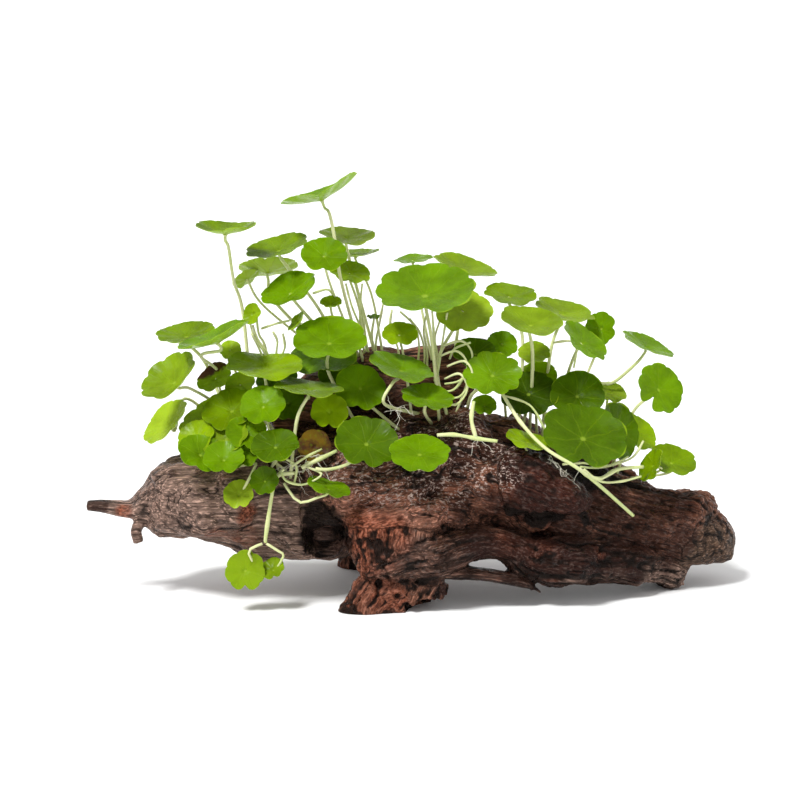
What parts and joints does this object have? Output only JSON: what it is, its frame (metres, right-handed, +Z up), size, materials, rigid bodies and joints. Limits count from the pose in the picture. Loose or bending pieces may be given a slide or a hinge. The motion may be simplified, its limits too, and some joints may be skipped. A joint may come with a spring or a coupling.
{
  "type": "pennywort on driftwood",
  "caption": "Branching piece of dark driftwood overgrown with a creeping pennywort of round lobed leaves, for a moist terrarium or aquarium.",
  "frame": {"origin": "middle of the front foot's flat base, on the surface that the driftwood stands on", "axes": "+X along the driftwood to the viewer's right, +Y away from the viewer, +Z up"},
  "size_m": [0.2678, 0.1079, 0.1711],
  "materials": {
    "leaf_back_right": "waxy living leaf, wet shine",
    "leaf_big_dark": "waxy living leaf, wet shine",
    "leaf_biggest": "waxy living leaf, wet shine",
    "leaf_crown_dark": "waxy living leaf, wet shine",
    "leaf_crown_edge": "waxy living leaf, wet shine",
    "leaf_crown_folded": "waxy living leaf, wet shine",
    "leaf_crown_round": "waxy living leaf, wet shine",
    "leaf_far_right": "waxy living leaf, wet shine",
    "leaf_far_right_edge": "waxy living leaf, wet shine",
    "leaf_folded_on_wood": "waxy living leaf, wet shine",
    "leaf_front_edge": "waxy living leaf, wet shine",
    "leaf_front_large": "waxy living leaf, wet shine",
    "leaf_front_oval": "waxy living leaf, wet shine",
    "leaf_glossy": "waxy living leaf, wet shine",
    "leaf_hanging": "waxy living leaf, wet shine",
    "leaf_left_bowl": "waxy living leaf, wet shine",
    "leaf_left_long": "waxy living leaf, wet shine",
    "leaf_left_olive": "waxy living leaf, wet shine",
    "leaf_left_pale": "waxy living leaf, wet shine",
    "leaf_lime_below": "waxy living leaf, wet shine",
    "leaf_lime_edge": "waxy living leaf, wet shine",
    "leaf_long_olive": "waxy living leaf, wet shine",
    "leaf_low_bright": "waxy living leaf, wet shine",
    "leaf_low_left": "waxy living leaf, wet shine",
    "leaf_low_left_bright": "waxy living leaf, wet shine",
    "leaf_middle_dark": "waxy living leaf, wet shine",
    "leaf_middle_green": "waxy living leaf, wet shine",
    "leaf_middle_left": "waxy living leaf, wet shine",
    "leaf_olive_oval": "waxy living leaf, wet shine",
    "leaf_olive_right": "waxy living leaf, wet shine",
    "leaf_on_wood": "waxy living leaf, wet shine",
    "leaf_right_behind": "waxy living leaf, wet shine",
    "leaf_right_big": "waxy living leaf, wet shine",
    "leaf_right_crown": "waxy living leaf, wet shine",
    "leaf_right_dark": "waxy living leaf, wet shine",
    "leaf_right_grey": "waxy living leaf, wet shine",
    "leaf_right_lime": "waxy living leaf, wet shine",
    "leaf_right_low": "waxy living leaf, wet shine",
    "leaf_right_lower": "waxy living leaf, wet shine",
    "leaf_right_upright": "waxy living leaf, wet shine",
    "leaf_round_bright": "waxy living leaf, wet shine",
    "leaf_small_round": "waxy living leaf, wet shine",
    "leaf_tall_left": "waxy living leaf, wet shine",
    "leaf_top": "waxy living leaf, wet shine",
    "leaf_upper_left": "waxy living leaf, wet shine",
    "leaf_upper_olive": "waxy living leaf, wet shine",
    "leaf_upper_pale": "waxy living leaf, wet shine",
    "leaf_wide_pale": "waxy living leaf, wet shine",
    "runner_cut": "smooth living stem",
    "runner_hanging": "smooth living stem",
    "runner_knot": "smooth living stem",
    "runner_on_hump": "smooth living stem",
    "wood_front_foot": "rough, dark and wet",
    "wood_left_limb": "rough, dark and wet",
    "wood_low_limb": "rough, dark and wet",
    "wood_rear_foot": "rough, dark and wet",
    "wood_right_limb": "rough, dark and wet",
    "wood_splinter": "rough, dark and wet",
    "wood_trunk": "rough, dark and wet",
    "wood_upper_branch": "rough, dark and wet"
  },
  "bodies": {
    "root": {"leaf_back_right": "leaf_back_right", "leaf_big_dark": "leaf_big_dark", "leaf_biggest": "leaf_biggest", "leaf_crown_dark": "leaf_crown_dark", "leaf_crown_edge": "leaf_crown_edge", "leaf_crown_folded": "leaf_crown_folded", "leaf_crown_round": "leaf_crown_round", "leaf_far_right": "leaf_far_right", "leaf_far_right_edge": "leaf_far_right_edge", "leaf_folded_on_wood": "leaf_folded_on_wood", "leaf_front_edge": "leaf_front_edge", "leaf_front_large": "leaf_front_large", "leaf_front_oval": "leaf_front_oval", "leaf_glossy": "leaf_glossy", "leaf_hanging": "leaf_hanging", "leaf_left_bowl": "leaf_left_bowl", "leaf_left_long": "leaf_left_long", "leaf_left_olive": "leaf_left_olive", "leaf_left_pale": "leaf_left_pale", "leaf_lime_below": "leaf_lime_below", "leaf_lime_edge": "leaf_lime_edge", "leaf_long_olive": "leaf_long_olive", "leaf_low_bright": "leaf_low_bright", "leaf_low_left": "leaf_low_left", "leaf_low_left_bright": "leaf_low_left_bright", "leaf_middle_dark": "leaf_middle_dark", "leaf_middle_green": "leaf_middle_green", "leaf_middle_left": "leaf_middle_left", "leaf_olive_oval": "leaf_olive_oval", "leaf_olive_right": "leaf_olive_right", "leaf_on_wood": "leaf_on_wood", "leaf_right_behind": "leaf_right_behind", "leaf_right_big": "leaf_right_big", "leaf_right_crown": "leaf_right_crown", "leaf_right_dark": "leaf_right_dark", "leaf_right_grey": "leaf_right_grey", "leaf_right_lime": "leaf_right_lime", "leaf_right_low": "leaf_right_low", "leaf_right_lower": "leaf_right_lower", "leaf_right_upright": "leaf_right_upright", "leaf_round_bright": "leaf_round_bright", "leaf_small_round": "leaf_small_round", "leaf_tall_left": "leaf_tall_left", "leaf_top": "leaf_top", "leaf_upper_left": "leaf_upper_left", "leaf_upper_olive": "leaf_upper_olive", "leaf_upper_pale": "leaf_upper_pale", "leaf_wide_pale": "leaf_wide_pale", "runner_cut": "runner_cut", "runner_hanging": "runner_hanging", "runner_knot": "runner_knot", "runner_on_hump": "runner_on_hump", "wood_front_foot": "wood_front_foot", "wood_left_limb": "wood_left_limb", "wood_low_limb": "wood_low_limb", "wood_rear_foot": "wood_rear_foot", "wood_right_limb": "wood_right_limb", "wood_splinter": "wood_splinter", "wood_trunk": "wood_trunk", "wood_upper_branch": "wood_upper_branch"}
  },
  "joints": []
}
